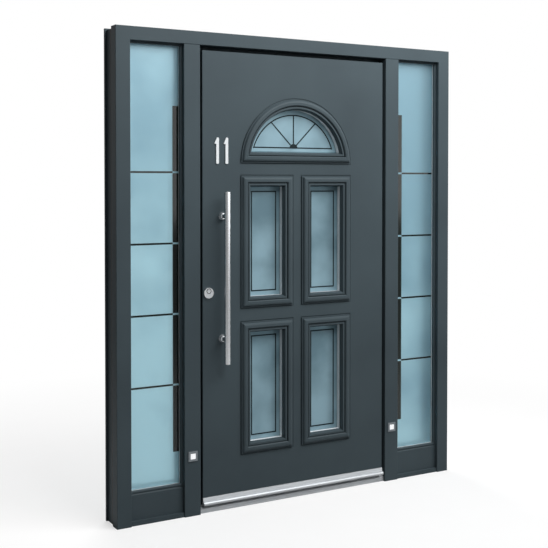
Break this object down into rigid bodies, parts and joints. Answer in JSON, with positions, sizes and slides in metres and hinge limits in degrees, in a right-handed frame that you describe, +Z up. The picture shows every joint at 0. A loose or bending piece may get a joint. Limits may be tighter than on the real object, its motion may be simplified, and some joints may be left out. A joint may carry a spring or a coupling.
{
  "type": "aluminium entrance door",
  "caption": "Aluminium entrance door with fanlight and moulded windows in a hinged leaf, long pull handle, glazed sidelights and one dark frame.",
  "frame": {"origin": "on the underside of the threshold, in the middle of the door across its width and halfway through the depth of the posts beside the leaf", "axes": "+Z up, +Y into the room, +X along the wall to the hinge side as seen from the street"},
  "size_m": [1.8, 0.2425, 2.15],
  "materials": {
    "anthracite_paint": "satin anthracite powder coat",
    "black_polyamide": "matte",
    "satin_glass": "satin etched with clear lines",
    "natural_aluminium": "natural anodised",
    "black_rubber": "matte",
    "brushed_stainless": "fine brushed",
    "dark_plate": "satin",
    "pale_lens": "satin opal"
  },
  "bodies": {
    "frame": {"beads_inside": "anthracite_paint", "beads_outside": "anthracite_paint", "frame_hinges": "brushed_stainless", "head_inner": "anthracite_paint", "head_outer": "anthracite_paint", "lamp_lenses": "pale_lens", "lamp_plates": "dark_plate", "left_jamb_inner": "anthracite_paint", "left_jamb_outer": "anthracite_paint", "left_mullion_inner": "anthracite_paint", "left_mullion_outer": "anthracite_paint", "left_sidelight_glass": "satin_glass", "right_jamb_inner": "anthracite_paint", "right_jamb_outer": "anthracite_paint", "right_mullion_inner": "anthracite_paint", "right_mullion_outer": "anthracite_paint", "right_sidelight_glass": "satin_glass", "sidelight_bases": "anthracite_paint", "sidelight_rails": "anthracite_paint", "sidelight_spacers": "natural_aluminium", "strike_plate": "brushed_stainless", "thermal_break": "black_polyamide", "threshold": "natural_aluminium", "weather_seals": "black_rubber"},
    "door_leaf": {"fanlight_moulding": "anthracite_paint", "inside_mouldings": "anthracite_paint", "inside_turn": "brushed_stainless", "leaf_core": "anthracite_paint", "leaf_glass": "satin_glass", "leaf_hinges": "brushed_stainless", "leaf_inner_skin": "anthracite_paint", "leaf_outer_skin": "anthracite_paint", "leaf_spacers": "natural_aluminium", "lever": "brushed_stainless", "lever_plate": "brushed_stainless", "lock_faceplate": "brushed_stainless", "lock_plug": "brushed_stainless", "lock_rosette": "brushed_stainless", "lower_left_moulding": "anthracite_paint", "lower_right_moulding": "anthracite_paint", "pull_bar": "brushed_stainless", "pull_posts": "brushed_stainless", "upper_left_moulding": "anthracite_paint", "upper_right_moulding": "anthracite_paint", "weather_bar": "natural_aluminium"}
  },
  "joints": [
    {"name": "leaf_hinge", "type": "hinge", "parent": "frame", "child": "door_leaf", "pos_m": [0.521, 0.0735, 1.08], "axis": [0, 0, -1], "range_deg": [0, 100]}
  ]
}
